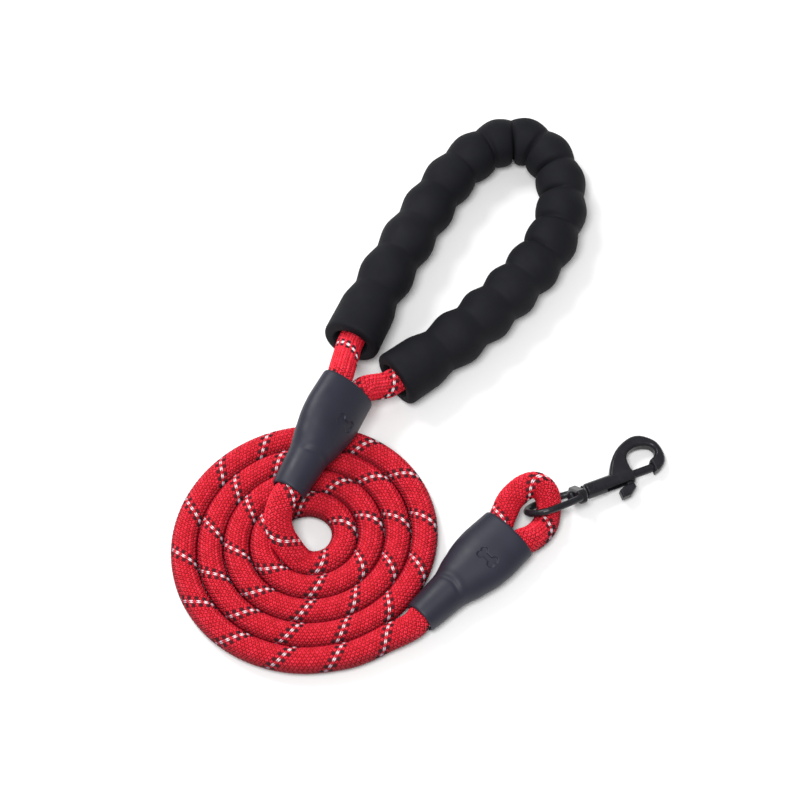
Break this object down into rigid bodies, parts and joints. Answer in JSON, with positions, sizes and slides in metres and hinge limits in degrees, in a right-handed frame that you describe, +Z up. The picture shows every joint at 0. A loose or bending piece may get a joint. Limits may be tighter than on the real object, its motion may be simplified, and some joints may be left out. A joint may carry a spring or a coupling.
{
  "type": "training leash",
  "caption": "Dog training leash: round red braided rope with a black and white tracer, wound in a flat coil, with a black foam-padded hand loop, moulded sleeves and a black swivel bolt snap.",
  "frame": {"origin": "on the surface that the leash lies on, below the middle of the box round the hand loop, sleeves and snap", "axes": "+Z up from the surface; +Y away from the coil towards the far bend of the hand loop; +X towards the snap's side"},
  "size_m": [0.2261, 0.2828, 0.0392],
  "materials": {
    "rope_red": "braided polyester with a black and white tracer",
    "grip_foam": "matt closed-cell foam",
    "sleeve_black": "satin",
    "snap_black": "semi-gloss black coating",
    "spring_steel": "blackened",
    "crimp_alloy": "plain"
  },
  "bodies": {
    "leash": {"rope_handle_loop": "rope_red", "foam_grip": "grip_foam", "handle_sleeve": "sleeve_black", "handle_crimp": "crimp_alloy", "rope_snap_loop": "rope_red", "snap_sleeve": "sleeve_black", "snap_crimp": "crimp_alloy", "rope_lead_in": "rope_red", "rope_coil": "rope_red", "rope_lead_out": "rope_red"},
    "eye": {"swivel_eye": "snap_black"},
    "snap": {"snap_body": "snap_black", "swivel_pin": "snap_black", "swivel_washer": "spring_steel", "bolt_spring": "spring_steel"},
    "bolt": {"bolt": "snap_black", "thumb_lever": "snap_black"}
  },
  "joints": [
    {"name": "eye_rock", "type": "hinge", "parent": "leash", "child": "eye", "pos_m": [0.03496, -0.0703, 0.009], "axis": [-0.2682, 0.7545, 0.599], "range_deg": [-35, 35]},
    {"name": "snap_swivel", "type": "hinge", "parent": "eye", "child": "snap", "pos_m": [0.03496, -0.0703, 0.009], "axis": [0.9114, 0.4001, -0.0958], "continuous": true},
    {"name": "bolt_slide", "type": "slide", "parent": "snap", "child": "bolt", "axis": [0.9114, 0.4001, -0.0958], "range_m": [-0.0095, 0], "stiffness_N_per_m": 300, "springref_m": 0.004, "deforming": ["bolt_spring"]}
  ]
}
